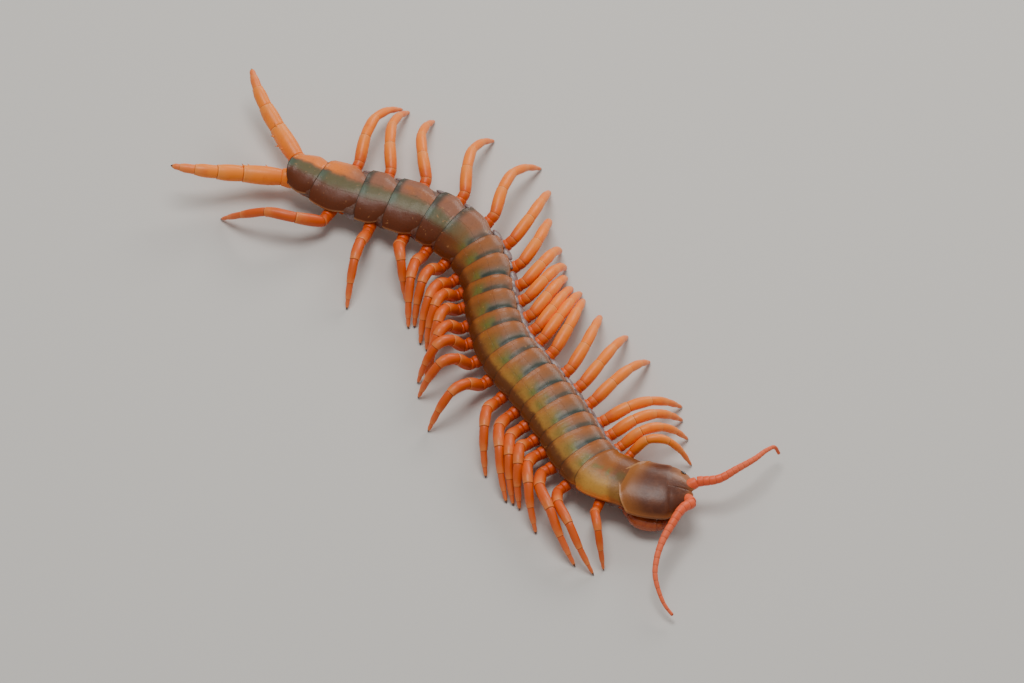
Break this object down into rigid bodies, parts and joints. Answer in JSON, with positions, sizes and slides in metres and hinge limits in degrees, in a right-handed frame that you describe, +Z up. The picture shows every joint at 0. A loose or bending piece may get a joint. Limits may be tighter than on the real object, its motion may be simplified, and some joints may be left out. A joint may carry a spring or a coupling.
{
  "type": "giant centipede",
  "caption": "Still, life-size giant centipede in a walking pose: banded trunk plates, arched jointed legs, antennae, poison claws and raised last legs.",
  "frame": {"origin": "centre of the bounding box, at floor level", "axes": "+Z up from the floor, the head points towards -Y and the animal's left is +X"},
  "size_m": [0.1046, 0.24, 0.0167],
  "materials": {
    "back": "glossy brown cuticle with dark green bands",
    "leg": "smooth orange cuticle with a satin gloss",
    "head": "glossy maroon-brown cuticle",
    "antenna": "coral-red cuticle with a satin gloss",
    "eye": "polished black lenses",
    "jaw": "glossy orange-red cuticle with dark tips"
  },
  "bodies": {
    "root": {"head": "head", "ocelli_left": "eye", "ocelli_right": "eye", "antenna_left": "antenna", "antenna_right": "antenna", "forcipule_base": "jaw", "forcipule_left": "jaw", "forcipule_right": "jaw", "trunk_01_to_03": "back", "trunk_04_to_06": "back", "trunk_07_to_09": "back", "trunk_10_to_12": "back", "trunk_13_to_15": "back", "trunk_16_to_18": "back", "trunk_19_to_21": "back", "leg_left_01": "leg", "leg_left_02": "leg", "leg_left_03": "leg", "leg_left_04": "leg", "leg_left_05": "leg", "leg_left_06": "leg", "leg_left_07": "leg", "leg_left_08": "leg", "leg_left_09": "leg", "leg_left_10": "leg", "leg_left_11": "leg", "leg_left_12": "leg", "leg_left_13": "leg", "leg_left_14": "leg", "leg_left_15": "leg", "leg_left_16": "leg", "leg_left_17": "leg", "leg_left_18": "leg", "leg_left_19": "leg", "leg_left_20": "leg", "leg_right_01": "leg", "leg_right_02": "leg", "leg_right_03": "leg", "leg_right_04": "leg", "leg_right_05": "leg", "leg_right_06": "leg", "leg_right_07": "leg", "leg_right_08": "leg", "leg_right_09": "leg", "leg_right_10": "leg", "leg_right_11": "leg", "leg_right_12": "leg", "leg_right_13": "leg", "leg_right_14": "leg", "leg_right_15": "leg", "leg_right_16": "leg", "leg_right_17": "leg", "leg_right_18": "leg", "leg_right_19": "leg", "leg_right_20": "leg", "ultimate_leg_left": "leg", "ultimate_leg_right": "leg"}
  },
  "joints": []
}
